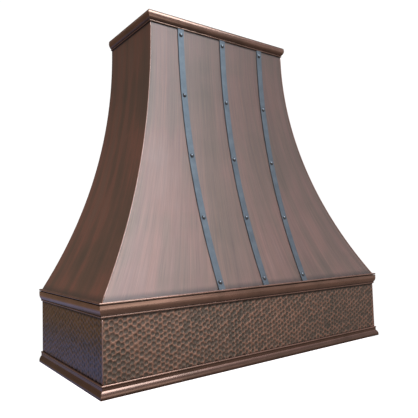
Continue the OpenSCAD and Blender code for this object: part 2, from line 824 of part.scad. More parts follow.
// Rectangular at the scroll's outlet, round at the collar.
module duct_hull(t) {
    hull() {
        translate([-cheek_x + t, -duct_y - outlet_w / 2 + t, outlet_z - (t > 0 ? eps : 0)])
            cube([2 * (cheek_x - t), outlet_w - 2 * t, eps]);
        translate([0, -duct_y, collar_z0 - eps])
            cylinder(d = duct_d - 2 * t, h = eps * (t > 0 ? 2 : 1), $fn = 48);
    }
}

module outlet_transition() color("silver") difference() {
    duct_hull(0);
    duct_hull(duct_t);
}

module duct_collar() color("lightgray") translate([0, -duct_y, 0]) difference() {
    union() {
        translate([0, 0, plate_z + plate_t])
            cylinder(d = duct_d, h = collar_top - plate_z - plate_t, $fn = 180);
        translate([0, 0, collar_z0])
            cylinder(d = duct_d - 2 * collar_step, h = collar_top - collar_z0, $fn = 180);
        translate([0, 0, plate_z + plate_t]) cylinder(d = duct_d + 16, h = flange_t, $fn = 180);
    }
    translate([0, 0, damper_z - 1.5])
        cylinder(d = duct_d - 2 * duct_t, h = far, $fn = 180);
    translate([0, 0, collar_z0 - 1])
        cylinder(d = duct_d - 2 * duct_t - 2 * flap_gap - 3, h = far, $fn = 180);
    translate([0, 0, collar_z0 - 1])
        cylinder(d = duct_d - 2 * duct_t, h = damper_z - 4 - collar_z0 + 1, $fn = 180);
    translate([0, 0, damper_z]) bar_x(damper_pin_d / 2 + pin_clear, far);
}

// Half a disc hinged on the pin; `s` is -1 for the front half and 1 for the rear half.
flap_edge = damper_pin_d / 2 + 3.5;
knuckle_at = [flap_r - 36, 34];
module damper_flap(s, at) color(s < 0 ? "gainsboro" : "silver")
    translate([0, -duct_y, damper_z]) difference() {
        union() {
            intersection() {
                translate([0, 0, -flap_t / 2]) cylinder(r = flap_r, h = flap_t, $fn = 180);
                translate([-far / 2, s > 0 ? flap_edge : -flap_edge - far, -5])
                    cube([far, far, 10]);
            }
            for (k = [-1, 1]) translate([k * at, 0, 0]) {
                bar_x(damper_pin_d / 2 + 2, 24);
                translate([-12, s > 0 ? 0 : -flap_edge - 2, -flap_t / 2])
                    cube([24, flap_edge + 2, flap_t]);
            }
        }
        bar_x(damper_pin_d / 2 + pin_clear, far);
    }

module damper_pin() color("white")
    translate([0, -duct_y, damper_z]) bar_x(damper_pin_d / 2, duct_d + 6);

// ---- wiring and screws ----

module junction_box() color("steelblue") translate([box_at[0], -sheet_t, box_at[1]]) {
    t = 1.5;
    difference() {
        translate([-box_size[0] / 2, -box_size[1], -box_size[2] / 2]) cube(box_size);
        translate([-box_size[0] / 2 + t, -box_size[1] - 1, -box_size[2] / 2 + t])
            cube([box_size[0] - 2 * t, box_size[1] - t + 1, box_size[2] - 2 * t]);
        rotate([90, 0, 0]) cylinder(d = gland_d + 2 * pin_clear, h = 20, center = true);
    }
    translate([-box_size[0] / 2 - 2, -box_size[1] - t, -box_size[2] / 2 - 2])
        cube([box_size[0] + 4, t, box_size[2] + 4]);
}

module cable_gland() color("black") translate([box_at[0], 0, box_at[1]]) rotate([90, 0, 0])
    difference() {
        union() {
            cylinder(d = gland_d, h = 22);
            translate([0, 0, sheet_t + 1.5]) cylinder(d = gland_d + 6, h = 6, $fn = 6);
        }
        translate([0, 0, -1]) cylinder(d = gland_d - 7, h = 30);
    }

module assembly_screws() color("lightgray") {
    for (p = screw_at) translate([p[0], p[1], soffit_z]) {
        translate([0, 0, -2.2]) cylinder(d = 2 * screw_d, h = 2.2);
        cylinder(d = screw_d, h = liner_t + angle_t + 3);
    }
    for (s = [-1, 1], z = ear_z) translate([s * cheek_x, -bolt_y, axis_z + z]) {
        translate([-s * (blower_t + 2), 0, 0]) bar_x(bolt_d * 0.85, 4);
        translate([s * 3, 0, 0]) bar_x(bolt_d / 2, 14);
        translate([s * (post_t + 2.5), 0, 0]) rotate([0, 90, 0])
            cylinder(d = bolt_d * 1.8, h = 5, center = true, $fn = 6);
    }
    at_axis() for (a = foot_angles) rotate([a, 0, 0]) {
        translate([-bracket_x - 4.5, foot_r, 0]) bar_x(screw_d, 3);
        translate([-(bracket_x + cheek_x) / 2, foot_r, 0])
            bar_x(screw_d / 2, bracket_x - cheek_x + 10);
    }
}

front_panel();
mirror([1, 0, 0]) side_panel();  // left_panel
side_panel();  // right_panel
rear_panel();
apron_front();
mirror([1, 0, 0]) apron_side();  // apron_left
apron_side();  // apron_right
crown_front();
mirror([1, 0, 0]) crown_side();  // crown_left
crown_side();  // crown_right
mid_front();  // mid_moulding_front
mirror([1, 0, 0]) mid_side();  // mid_moulding_left
mid_side();  // mid_moulding_right
base_front();  // base_moulding_front
mirror([1, 0, 0]) base_side();  // base_moulding_left
base_side();  // base_moulding_right
strap(strap_x[0]);  // strap_left
strap(strap_x[1]);  // strap_centre
strap(strap_x[2]);  // strap_right
strap_rivets();
top_frame();
waist_frame();
base_frame();
rear_posts();
top_plate();
liner_front();
liner_rear();
mirror([1, 0, 0]) liner_side();  // liner_left
liner_side();  // liner_right
filter_frame(filter_x[0]);  // filter_left
filter_frame(filter_x[1]);  // filter_centre
filter_frame(filter_x[2]);  // filter_right
baffles(filter_x[0]);  // baffles_left
baffles(filter_x[1]);  // baffles_centre
baffles(filter_x[2]);  // baffles_right
filter_hinge_rod();
filter_catches();
lamp_bodies();
lamp_rims();
lamp_lenses();
control_plate();
control_box();
knob(-knob_pitch / 2);  // fan_knob
knob(knob_pitch / 2);  // light_knob
grease_cup();
scroll_wrap();
mirror([1, 0, 0]) scroll_cheek(true);  // scroll_cheek_left
scroll_cheek(false);  // scroll_cheek_right
impeller();
motor_shaft();
motor();
motor_bracket();
outlet_transition();
duct_collar();
damper_flap(-1, knuckle_at[0]);  // damper_flap_front
damper_flap(1, knuckle_at[1]);  // damper_flap_rear
damper_pin();
junction_box();
cable_gland();
assembly_screws();
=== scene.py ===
"""Looks for the copper range hood: materials, hand-worked copper, studio and camera.

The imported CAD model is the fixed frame. All lengths are in metres, in the row frame: the wall is
y = 0, the room is towards -Y, +Z is up and z = 0 is the hood's lower edge.
"""

import math

import bpy
import numpy as np
from mathutils import Matrix, Vector


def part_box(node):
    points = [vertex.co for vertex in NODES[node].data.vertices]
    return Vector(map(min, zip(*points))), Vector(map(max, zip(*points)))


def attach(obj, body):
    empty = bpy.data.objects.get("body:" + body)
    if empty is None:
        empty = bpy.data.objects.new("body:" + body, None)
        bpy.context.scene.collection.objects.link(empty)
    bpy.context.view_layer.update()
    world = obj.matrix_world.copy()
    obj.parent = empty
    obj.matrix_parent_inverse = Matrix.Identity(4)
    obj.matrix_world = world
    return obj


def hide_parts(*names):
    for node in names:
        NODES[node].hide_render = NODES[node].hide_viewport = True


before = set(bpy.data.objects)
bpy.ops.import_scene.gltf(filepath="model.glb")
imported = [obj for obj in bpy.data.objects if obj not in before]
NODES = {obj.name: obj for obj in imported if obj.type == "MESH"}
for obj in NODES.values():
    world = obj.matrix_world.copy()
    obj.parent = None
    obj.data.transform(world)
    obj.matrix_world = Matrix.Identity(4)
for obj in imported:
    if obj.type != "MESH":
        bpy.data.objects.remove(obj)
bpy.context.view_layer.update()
MM = 0.001

# ---------------------------------------------------------------- sizes read from the frame

body_low, body_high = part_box("front_panel")
crown_low, crown_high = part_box("crown_front")
mid_low, mid_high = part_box("mid_moulding_front")
base_low, base_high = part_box("base_moulding_front")
apron_low, apron_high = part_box("apron_front")

APRON_HALF = apron_high.x
APRON_FRONT = apron_low.y
SHEET = apron_high.y - apron_low.y
BODY_Z0 = mid_high.z
BODY_Z1 = crown_low.z
THROAT_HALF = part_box("right_panel")[0].x + SHEET
THROAT_FRONT = body_high.y - SHEET


# ---------------------------------------------------------------- camera

CAMERA_PLACE = (-1.1168, -1.7252, 0.4194)
CAMERA_YAW = 36.22
CAMERA_PITCH = 3.58
CAMERA_ROLL = -1.57
CAMERA_LENS = 40.69
CAMERA_SHIFT = (0.001, -0.002)


def make_camera():
    """Stands to the left of the hood, a little below the middle of its height."""
    yaw, pitch, roll = (math.radians(a) for a in (CAMERA_YAW, CAMERA_PITCH, CAMERA_ROLL))
    forward = Vector((math.sin(yaw) * math.cos(pitch), math.cos(yaw) * math.cos(pitch), math.sin(pitch)))
    right = Vector((math.cos(yaw), -math.sin(yaw), 0))
    up = right.cross(forward)
    right_rolled = math.cos(roll) * right + math.sin(roll) * up
    up_rolled = right_rolled.cross(forward)
    data = bpy.data.cameras.new("camera")
    data.sensor_width = 36
    data.lens = CAMERA_LENS
    data.shift_x, data.shift_y = CAMERA_SHIFT
    data.clip_start = 0.05
    data.clip_end = 100
    camera = bpy.data.objects.new("camera", data)
    turn = Matrix((right_rolled, up_rolled, -forward)).transposed()
    camera.matrix_world = Matrix.Translation(CAMERA_PLACE) @ turn.to_4x4()
    bpy.context.scene.collection.objects.link(camera)
    bpy.context.scene.camera = camera


# ---------------------------------------------------------------- studio

ROOM_LEFT = [
    (0.0, (0.09, 0.07, 0.06)),
    (0.29, (0.12, 0.10, 0.10)),
    (0.345, (0.25, 0.28, 0.46)),
    (0.375, (0.25, 0.28, 0.46)),
    (0.402, (0.25, 0.18, 0.115)),
    (0.52, (0.18, 0.14, 0.11)),
    (0.72, (0.17, 0.135, 0.11)),
    (0.86, (0.46, 0.36, 0.32)),
    (1.0, (0.52, 0.42, 0.39)),
]
ROOM_RIGHT = [
    (0.0, (0.20, 0.18, 0.175)),
    (0.40, (0.20, 0.165, 0.145)),
    (0.50, (0.44, 0.41, 0.40)),
    (0.60, (0.50, 0.47, 0.48)),
    (0.72, (0.30, 0.28, 0.29)),
    (0.86, (0.76, 0.68, 0.74)),
    (1.0, (0.70, 0.65, 0.71)),
]
LEFT_TO_RIGHT = (0.85, -0.52, 0)
UPWARDS = (0, 0, 1)


def make_world():
    """White to the eye, and a graded room in reflections: dim on the left, brighter on the right."""
    bpy.context.scene.view_settings.view_transform = "Standard"
    world = bpy.data.worlds.new("studio")
    world.use_nodes = True
    bpy.context.scene.world = world
    tree = world.node_tree
    tree.nodes.clear()
    out = tree.nodes.new("ShaderNodeOutputWorld")
    mix = tree.nodes.new("ShaderNodeMixShader")
    path = tree.nodes.new("ShaderNodeLightPath")
    white = tree.nodes.new("ShaderNodeBackground")
    white.inputs["Color"].default_value = (1, 1, 1, 1)
    white.inputs["Strength"].default_value = 1.05
    room = tree.nodes.new("ShaderNodeBackground")
    room.inputs["Strength"].default_value = 1.0
    place = tree.nodes.new("ShaderNodeTexCoord").outputs["Generated"]
    left = shade_along(tree, place, UPWARDS, ROOM_LEFT)
    right = shade_along(tree, place, UPWARDS, ROOM_RIGHT)
    side = shade_along(tree, place, LEFT_TO_RIGHT, [(0.30, (0, 0, 0)), (0.62, (1, 1, 1))])
    both = tree.nodes.new("ShaderNodeMix")
    both.data_type = "RGBA"
    link = tree.links.new
    link(side, both.inputs["Factor"])
    link(left, both.inputs[6])
    link(right, both.inputs[7])
    link(both.outputs[2], room.inputs["Color"])
    link(path.outputs["Is Camera Ray"], mix.inputs["Fac"])
    link(room.outputs[0], mix.inputs[1])
    link(white.outputs[0], mix.inputs[2])
    link(mix.outputs[0], out.inputs["Surface"])


def shade_along(tree, place, direction, stops):
    """A colour ramp from 0, away from a direction, to 1, towards it."""
    dot = tree.nodes.new("ShaderNodeVectorMath")
    dot.operation = "DOT_PRODUCT"
    dot.inputs[1].default_value = Vector(direction).normalized()
    share = tree.nodes.new("ShaderNodeMath")
    share.operation = "MULTIPLY_ADD"
    share.inputs[1].default_value = 0.5
    share.inputs[2].default_value = 0.5
    ramp = tree.nodes.new("ShaderNodeValToRGB")
    set_stops(ramp, stops)
    tree.links.new(place, dot.inputs[0])
    tree.links.new(dot.outputs["Value"], share.inputs[0])
    tree.links.new(share.outputs[0], ramp.inputs["Fac"])
    return ramp.outputs["Color"]


def set_stops(ramp, stops):
    """Gives a colour ramp its stops, each (place, (r, g, b))."""
    elements = ramp.color_ramp.elements
    while len(elements) > 1:
        elements.remove(elements[-1])
    elements[0].position = stops[0][0]
    elements[0].color = (*stops[0][1], 1)
    for place, colour in stops[1:]:
        elements.new(place).color = (*colour, 1)


def make_softbox(name, azimuth, elevation, distance, size, glow, colour=(1, 1, 1)):
    """An area light aimed at the hood's middle; azimuth 0 is in front and 90 is to the right.

    glow is how bright its face is, where the white background is 1."""
    middle = Vector((0, -0.25, 0.6))
    a, e = math.radians(azimuth), math.radians(elevation)
    towards = Vector((math.sin(a) * math.cos(e), -math.cos(a) * math.cos(e), math.sin(e)))
    data = bpy.data.lights.new(name, "AREA")
    data.shape = "RECTANGLE"
    data.size, data.size_y = size
    data.energy = glow * math.pi * size[0] * size[1]
    data.color = colour
    light = bpy.data.objects.new(name, data)
    light.location = middle + towards * distance
    light.rotation_mode = "QUATERNION"
    light.rotation_quaternion = towards.to_track_quat("Z", "Y")
    bpy.context.scene.collection.objects.link(light)


def make_floor():
    """A plain pale floor, well below the hood, which hangs on a wall."""
    mesh = bpy.data.meshes.new("floor")
    half = 14
    level = -3.4
    mesh.from_pydata([(-half, -half, level), (half, -half, level), (half, half, level),
                      (-half, half, level)], [], [(0, 1, 2, 3)])
    floor = bpy.data.objects.new("floor", mesh)
    bpy.context.scene.collection.objects.link(floor)
    mat = bpy.data.materials.new("floor_paint")
    mat.use_nodes = True
    shader = mat.node_tree.nodes["Principled BSDF"]
    shader.inputs["Base Color"].default_value = (0.9, 0.9, 0.9, 1)
    shader.inputs["Roughness"].default_value = 0.9
    shader.inputs["Emission Color"].default_value = (1, 1, 1, 1)
    shader.inputs["Emission Strength"].default_value = 1.0
    mesh.materials.append(mat)
    floor.visible_glossy = False
    floor.visible_diffuse = False


# ---------------------------------------------------------------- material helpers

class Paint:
    """A small builder for node materials in the row frame's own coordinates."""

    def __init__(self, name):
        self.mat = bpy.data.materials.new(name)
        self.mat.use_nodes = True
        self.tree = self.mat.node_tree
        self.shader = self.tree.nodes["Principled BSDF"]
        self.place = self.tree.nodes.new("ShaderNodeTexCoord").outputs["Object"]

    def set(self, **values):
        for name, value in values.items():
            self.shader.inputs[name.replace("_", " ")].default_value = value
        return self

    def link(self, source, socket):
        self.tree.links.new(source, socket)

    def feed(self, socket, value):
        if isinstance(value, bpy.types.NodeSocket):
            self.link(value, socket)
        else:
            socket.default_value = value

    def math(self, kind, a, b=0.5, c=0.5):
        node = self.tree.nodes.new("ShaderNodeMath")
        node.operation = kind
        for socket, value in zip(node.inputs, (a, b, c)):
            self.feed(socket, value)
        return node.outputs[0]

    def scaled(self, x, y, z):
        """The place, stretched: a big factor means fine detail along that axis."""
        node = self.tree.nodes.new("ShaderNodeMapping")
        node.inputs["Scale"].default_value = (x, y, z)
        self.link(self.place, node.inputs["Vector"])
        return node.outputs[0]

    def noise(self, where, scale, detail=3, roughness=0.5, distortion=0.0):
        node = self.tree.nodes.new("ShaderNodeTexNoise")
        node.inputs["Scale"].default_value = scale
        node.inputs["Detail"].default_value = detail
        node.inputs["Roughness"].default_value = roughness
        node.inputs["Distortion"].default_value = distortion
        self.link(where, node.inputs["Vector"])
        return node.outputs["Fac"]

    def axis(self, name):
        node = self.tree.nodes.new("ShaderNodeSeparateXYZ")
        self.link(self.place, node.inputs[0])
        return node.outputs[name]

    def facing(self, name):
        """One component of the surface's own direction."""
        geometry = self.tree.nodes.new("ShaderNodeNewGeometry")
        node = self.tree.nodes.new("ShaderNodeSeparateXYZ")
        self.link(geometry.outputs["Normal"], node.inputs[0])
        return node.outputs[name]

    def attribute(self, name):
        node = self.tree.nodes.new("ShaderNodeAttribute")
        node.attribute_name = name
        return node.outputs["Fac"]

    def span(self, value, low, high, out_low=0.0, out_high=1.0):
        node = self.tree.nodes.new("ShaderNodeMapRange")
        node.interpolation_type = "SMOOTHSTEP"
        numbers = {"From Min": low, "From Max": high, "To Min": out_low, "To Max": out_high}
        for name, number in numbers.items():
            node.inputs[name].default_value = number
        self.link(value, node.inputs["Value"])
        return node.outputs["Result"]

    def ramp(self, value, stops):
        node = self.tree.nodes.new("ShaderNodeValToRGB")
        set_stops(node, stops)
        self.link(value, node.inputs["Fac"])
        return node.outputs["Color"]

    def mix(self, share, a, b, kind="MIX"):
        node = self.tree.nodes.new("ShaderNodeMix")
        node.data_type = "RGBA"
        node.blend_type = kind
        self.feed(node.inputs["Factor"], share)
        for index, value in ((6, a), (7, b)):
            if isinstance(value, tuple):
                value = (*value, 1)[:4]
            self.feed(node.inputs[index], value)
        return node.outputs[2]

    def bump(self, height, distance, strength=1.0):
        node = self.tree.nodes.new("ShaderNodeBump")
        node.inputs["Strength"].default_value = strength
        node.inputs["Distance"].default_value = distance
        self.link(height, node.inputs["Height"])
        last = self.shader.inputs["Normal"]
        if last.is_linked:
            self.link(last.links[0].from_socket, node.inputs["Normal"])
        self.link(node.outputs["Normal"], last)
        return self

    def colour(self, value):
        self.feed(self.shader.inputs["Base Color"], value)
        return self

    def rough(self, value):
        self.feed(self.shader.inputs["Roughness"], value)
        return self


# ---------------------------------------------------------------- materials

# One copper, toned apart for how light falls on each face: the front's greyer tones paint in a pale sheen,
# the side's deeper tones paint in shade.
FRONT_TONES_AND_SHEEN = (
    (0.215, 0.155, 0.124),
    (0.262, 0.176, 0.144),
    (0.300, 0.184, 0.154),
    (0.312, 0.206, 0.176),
)
SIDE_TONES_AND_SHADE = (
    (0.185, 0.128, 0.092),
    (0.295, 0.160, 0.116),
    (0.425, 0.186, 0.134),
    (0.370, 0.210, 0.160),
)
TONE_STOPS = (0.34, 0.46, 0.54, 0.66)
STROKE_STRETCH = 0.022
# the colour of the painted shadow and shade where a sheet runs in under or behind a moulding
SHADE_DARK = (0.060, 0.052, 0.050)


def brushed_copper(name, axis, head, foot, tones, tucked=True):
    """Aged copper sheet. The brushing fans out with the sheet, which is `head` wide at its top and
    `foot` wide at its bottom, measured from its middle or from the wall along `axis`. Painted shade
    darkens it towards the head and it is painted lighter towards the foot. A tucked sheet gets a
    painted shadow where it runs in under the crown and painted shade where it runs in behind the mid
    moulding."""
    p = Paint(name)
    z = p.axis("Z")
    rise, spread = BODY_Z1 - BODY_Z0, foot - head
    radius = (rise * rise + spread * spread) / (2 * spread)
    down = p.math("MINIMUM", p.math("SUBTRACT", BODY_Z1, z), rise)
    chord = p.math("SQRT", p.math("SUBTRACT", radius * radius, p.math("MULTIPLY", down, down)))
    reach = p.math("SUBTRACT", head + radius, chord)
    across = p.math("MULTIPLY", p.math("DIVIDE", p.axis(axis), reach), foot)
    strokes = p.tree.nodes.new("ShaderNodeCombineXYZ")
    p.link(across, strokes.inputs["X"])
    p.link(p.math("MULTIPLY", z, STROKE_STRETCH), strokes.inputs["Y"])
    strokes.inputs["Z"].default_value = foot
    fine = p.noise(strokes.outputs[0], 330, 4, 0.65)
    medium = p.noise(strokes.outputs[0], 75, 3, 0.55)
    wide = p.noise(strokes.outputs[0], 13, 3, 0.5, 0.2)
    cloud = p.noise(p.place, 5, 3, 0.5, 0.3)
    tone = p.math("MULTIPLY_ADD", cloud, 0.45, p.math("MULTIPLY", wide, 0.55))
    aged = p.ramp(tone, list(zip(TONE_STOPS, tones)))
    thin = p.ramp(fine, [(0.32, (0.84, 0.84, 0.86)), (0.50, (1, 1, 1)), (0.68, (1.18, 1.15, 1.13))])
    broad = p.ramp(medium, [(0.34, (0.90, 0.91, 0.93)), (0.50, (1, 1, 1)), (0.66, (1.10, 1.05, 1.03))])
    metal = p.mix(1.0, p.mix(1.0, aged, thin, "MULTIPLY"), broad, "MULTIPLY")
    # painted shade: darker towards the head, painted lighter towards the foot
    height_shade = p.span(z, BODY_Z0 + 100 * MM, BODY_Z1 - 50 * MM, 1.14, 0.80)
    metal = p.mix(1.0, metal, height_shade, "MULTIPLY")
    # painted shadow under the crown and painted shade just above the mid moulding
    if tucked:
        foot_shade = p.span(z, BODY_Z0, BODY_Z0 + 20 * MM, 0.65, 0.0)
        head_shadow = p.span(z, BODY_Z1 - 8 * MM, BODY_Z1 - 1 * MM, 0.0, 0.92)
        metal = p.mix(p.math("MAXIMUM", foot_shade, head_shadow), metal, SHADE_DARK)
    p.colour(metal)
    p.rough(p.math("MULTIPLY_ADD", medium, 0.22, 0.34))
    p.set(Metallic=0.85, Coat_Weight=1.0, Coat_Roughness=0.34, Coat_IOR=1.7)
    p.bump(fine, 0.00012, 0.5)
    return p.mat


def moulding_copper(name, foot, tones, along):
    """Copper drawn to a moulding: painted shade in its grooves, painted highlights (partly rubbed wear) on
    its beads and faces.

    tones are (height above the moulding's foot in mm, how bright the painted light and shade make the
    copper there)."""
    p = Paint(name)
    stretch = (0.03, 1, 1) if along == "X" else (1, 0.03, 1)
    streak = p.noise(p.scaled(*stretch), 300, 4, 0.6)
    blotch = p.noise(p.place, 9, 3, 0.55)
    base = p.ramp(blotch, [(0.32, (0.250, 0.162, 0.125)), (0.50, (0.290, 0.182, 0.142)),
                           (0.70, (0.325, 0.198, 0.156))])
    fine = p.ramp(streak, [(0.30, (0.84, 0.84, 0.85)), (0.52, (1, 1, 1)), (0.72, (1.16, 1.11, 1.08))])
    metal = p.mix(1.0, base, fine, "MULTIPLY")
    span = tones[-1][0]
    height = p.math("DIVIDE", p.math("SUBTRACT", p.axis("Z"), foot), span * MM)
    # painted light and shade by height: bright bands are painted highlights, partly rubbed wear; dark
    # bands are painted shade
    level = p.ramp(height, [(h / span, (0.5 * t, 0.5 * t, 0.5 * t)) for h, t in tones])
    wander = p.span(p.noise(p.place, 26, 3), 0.28, 0.66, 0.95, 1.05)
    shaded = p.mix(1.0, metal, p.math("MULTIPLY", level, p.math("MULTIPLY", wander, 2.0)), "MULTIPLY")
    p.colour(shaded)
    p.rough(p.math("MULTIPLY_ADD", p.noise(p.scaled(*stretch), 110, 3), 0.18, 0.17))
    p.set(Metallic=0.95)
    p.bump(streak, 0.00006, 0.3)
    return p.mat


def hammered_copper(name, wear, side_reflection_and_shade):
    """Hammer-struck copper: dark oxide in each mark, copper showing on the ridges between them.

    wear says how far the ridges are rubbed back to bare copper, and bloom how strongly a painted
    reflection turns the dull copper from gold at the head to blue at the foot and painted shade darkens
    each mark."""
    p = Paint(name)
    ridge = p.attribute("ridge")
    grime = p.noise(p.place, 22, 4, 0.6)
    dull = p.ramp(grime, [(0.30, (0.170, 0.152, 0.128)), (0.52, (0.215, 0.178, 0.150)),
                          (0.72, (0.260, 0.195, 0.160))])
    # painted reflection: the dull copper goes from blue at the foot to gold at the head
    ragged = p.math("MULTIPLY_ADD", grime, 20 * MM, p.axis("Z"))
    fade = p.span(ragged, base_high.z + 50 * MM, mid_low.z - 20 * MM)
    reflected_blue = p.ramp(fade, [(0.0, (0.225, 0.230, 0.315)), (0.45, (0.215, 0.195, 0.200)),
                          (1.0, (0.330, 0.225, 0.120))])
    dull = p.mix(side_reflection_and_shade, dull, reflected_blue)
    # painted shade in the middle of each mark, on the side sheets only
    mark_shade = p.math("MULTIPLY", p.span(ridge, 0.05, 0.55, 0.75, 0.0), side_reflection_and_shade)
    dull = p.mix(mark_shade, dull, (0.110, 0.098, 0.105))
    worn = p.ramp(p.noise(p.place, 60, 3), [(0.30, (0.40, 0.240, 0.178)), (0.70, (0.54, 0.325, 0.245))])
    where = p.math("MULTIPLY_ADD", p.noise(p.place, 7, 3), 0.5, 0.05)
    share = p.span(p.math("ADD", ridge, p.math("SUBTRACT", where, 0.3)), 0.42, 0.82)
    z = p.axis("Z")
    # painted shadow just under the mid moulding and painted shade just above the base moulding
    head_shadow = p.span(z, mid_low.z - 10 * MM, mid_low.z - 3 * MM, 0.0, 0.9)
    foot_shade = p.span(z, base_high.z, base_high.z + 4 * MM, 0.6, 0.0)
    tucked = p.math("MAXIMUM", head_shadow, foot_shade)
    rubbed = p.math("MULTIPLY", share, wear)
    # the near-black colour here is the painted shadow and shade
    p.colour(p.mix(tucked, p.mix(rubbed, dull, worn), (0.05, 0.042, 0.038)))
    p.rough(p.math("MULTIPLY_ADD", p.noise(p.place, 130, 3), 0.22, 0.28))
    p.set(Metallic=0.9)
    p.bump(p.noise(p.place, 420, 3), 0.00025, 0.35)
    return p.mat


def forged_iron(name):
    """Blue-grey waxed iron, faintly uneven from the hammer."""
    p = Paint(name)
    cloud = p.noise(p.place, 30, 4, 0.6)
    tone = p.ramp(cloud, [(0.30, (0.160, 0.195, 0.225)), (0.52, (0.185, 0.222, 0.255)),
                          (0.72, (0.22, 0.26, 0.29))])
    speck = p.span(p.noise(p.place, 520, 2), 0.60, 0.74)
    p.colour(p.mix(p.math("MULTIPLY", speck, 0.2), tone, (0.30, 0.34, 0.37)))
    p.rough(p.math("MULTIPLY_ADD", cloud, 0.2, 0.36))
    p.set(Metallic=0.75)
    p.bump(p.noise(p.place, 60, 2), 0.0008, 0.2)
    p.bump(p.noise(p.place, 600, 2), 0.0002, 0.25)
    return p.mat


def brushed_steel(name, along, tone=0.62, rough=0.28):
    """Stainless sheet with brushing along one axis."""
    p = Paint(name)
    stretch = {"X": (0.02, 1, 1), "Y": (1, 0.02, 1)}[along]
    streak = p.noise(p.scaled(*stretch), 420, 4, 0.6)
    smear = p.noise(p.place, 8, 3)
    base = p.ramp(streak, [(0.30, (tone * 0.88,) * 3), (0.55, (tone,) * 3), (0.75, (tone * 1.1,) * 3)])
    p.colour(p.mix(p.span(smear, 0.40, 0.75, 0.0, 0.35), base, (tone * 0.86, tone * 0.84, tone * 0.80)))
    p.rough(p.math("MULTIPLY_ADD", streak, 0.22, rough - 0.1))
    p.set(Metallic=1.0)
    p.bump(streak, 0.00006, 0.5)
    return p.mat


def galvanised(name):
    """Zinc-dipped sheet with its spangle."""
    p = Paint(name)
    spangle = p.tree.nodes.new("ShaderNodeTexVoronoi")
    spangle.inputs["Scale"].default_value = 95
    p.link(p.place, spangle.inputs["Vector"])
    grey = p.math("MULTIPLY_ADD", spangle.outputs["Distance"], 0.25, 0.47)
    crystal = p.tree.nodes.new("ShaderNodeSeparateColor")
    p.link(spangle.outputs["Color"], crystal.inputs[0])
    shade = p.ramp(crystal.outputs[0], [(0.0, (0.82, 0.84, 0.87)), (1.0, (1.08, 1.08, 1.08))])
    dull = p.ramp(grey, [(0.30, (0.40, 0.42, 0.44)), (0.75, (0.62, 0.63, 0.64))])
    p.colour(p.mix(1.0, dull, shade, "MULTIPLY"))
    p.rough(p.math("MULTIPLY_ADD", crystal.outputs[1], 0.22, 0.34))
    p.set(Metallic=0.9)
    p.bump(p.noise(p.place, 160, 3), 0.0002, 0.3)
    return p.mat


def satin_metal(name, tone, rough, grain=180, metallic=1.0, tint=(1, 1, 1)):
    """Cast, turned or plated metal with a fine, even grain."""
    p = Paint(name)
    grit = p.noise(p.place, grain, 4, 0.6)
    low = tuple(tone * 0.85 * t for t in tint)
    high = tuple(tone * 1.08 * t for t in tint)
    p.colour(p.ramp(grit, [(0.32, low), (0.68, high)]))
    p.rough(p.math("MULTIPLY_ADD", grit, 0.16, rough - 0.08))
    p.set(Metallic=metallic)
    p.bump(grit, 0.00012, 0.35)
    return p.mat


def enamel(name, tone, rough):
    """Sprayed paint with a light orange-peel skin and dust on what faces up."""
    p = Paint(name)
    cloud = p.noise(p.place, 26, 4)
    deep = tuple(0.86 * t for t in tone)
    light = tuple(1.12 * t for t in tone)
    base = p.ramp(cloud, [(0.35, deep), (0.65, light)])
    upward = p.span(p.facing("Z"), 0.6, 1.0)
    patchy = p.span(p.noise(p.place, 55, 3), 0.35, 0.75, 0, 0.35)
    dust = p.math("MULTIPLY", upward, patchy)
    p.colour(p.mix(dust, base, (0.42, 0.40, 0.37)))
    p.rough(p.math("MULTIPLY_ADD", cloud, 0.2, rough - 0.1))
    p.set(Coat_Weight=0.15)
    p.bump(p.noise(p.place, 380, 2), 0.0003, 0.25)
    return p.mat


def moulded_plastic(name, tone, rough):
    """Plastic with the fine texture of its mould."""
    p = Paint(name)
    grit = p.noise(p.place, 900, 3)
    wear = p.noise(p.place, 40, 3)
    deep = tuple(0.85 * t for t in tone)
    rubbed = tuple(1.25 * t + 0.004 for t in tone)
    p.colour(p.ramp(wear, [(0.35, deep), (0.70, rubbed)]))
    p.rough(p.math("MULTIPLY_ADD", wear, 0.2, rough - 0.1))
    p.bump(grit, 0.0002, 0.3)
    return p.mat


def frosted_glass(name):
    """Lamp glass, etched inside, with a fine frosted grain."""
    p = Paint(name)
    frost = p.noise(p.place, 500, 2)
    p.colour(p.ramp(frost, [(0.3, (0.86, 0.87, 0.86)), (0.7, (0.97, 0.97, 0.95))]))
    p.rough(p.math("MULTIPLY_ADD", frost, 0.2, 0.18))
    p.set(Transmission_Weight=0.55, IOR=1.48)
    p.bump(frost, 0.0004, 0.4)
    return p.mat


# ---------------------------------------------------------------- mesh helpers

def add_object(name, verts, faces, mat):
    """A smooth-shaded piece that rides on the hood."""
    mesh = bpy.data.meshes.new(name)
    mesh.from_pydata([tuple(v) for v in verts], [], [tuple(f) for f in faces])
    mesh.materials.append(mat)
    mesh.validate()
    mesh.polygons.foreach_set("use_smooth", [True] * len(mesh.polygons))
    obj = bpy.data.objects.new(name, mesh)
    bpy.context.scene.collection.objects.link(obj)
    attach(obj, "hood")
    return obj


HAMMER_PITCH = 16 * MM
HAMMER_DEPTH = 1.35 * MM
CELL = 2.0 * MM
CALM_EDGE = 4 * MM
APRON_TUCK = 6 * MM


def hammer_marks(width, height, pitch, seed):
    """Centres of the marks: struck in upright columns, every second one half a step up, by a hand
    that wanders a little."""
    rng = np.random.default_rng(seed)
    column_step = pitch * math.sqrt(3) / 2
    columns = int(width / column_step) + 3
    rows = int(height / pitch) + 3
    points = np.array([((c - 1) * column_step, (r - 1 + 0.5 * (c % 2)) * pitch)
                       for c in range(columns) for r in range(rows)])
    drift = 0.35 * pitch * np.sin(points[:, ::-1] * (17.0, 11.0) + rng.uniform(0, 6, 2))
    points += drift + rng.uniform(-0.14, 0.14, points.shape) * pitch
    radius = pitch * rng.uniform(0.50, 0.62, len(points))
    depth = rng.uniform(0.7, 1.05, len(points))
    return points, radius, depth


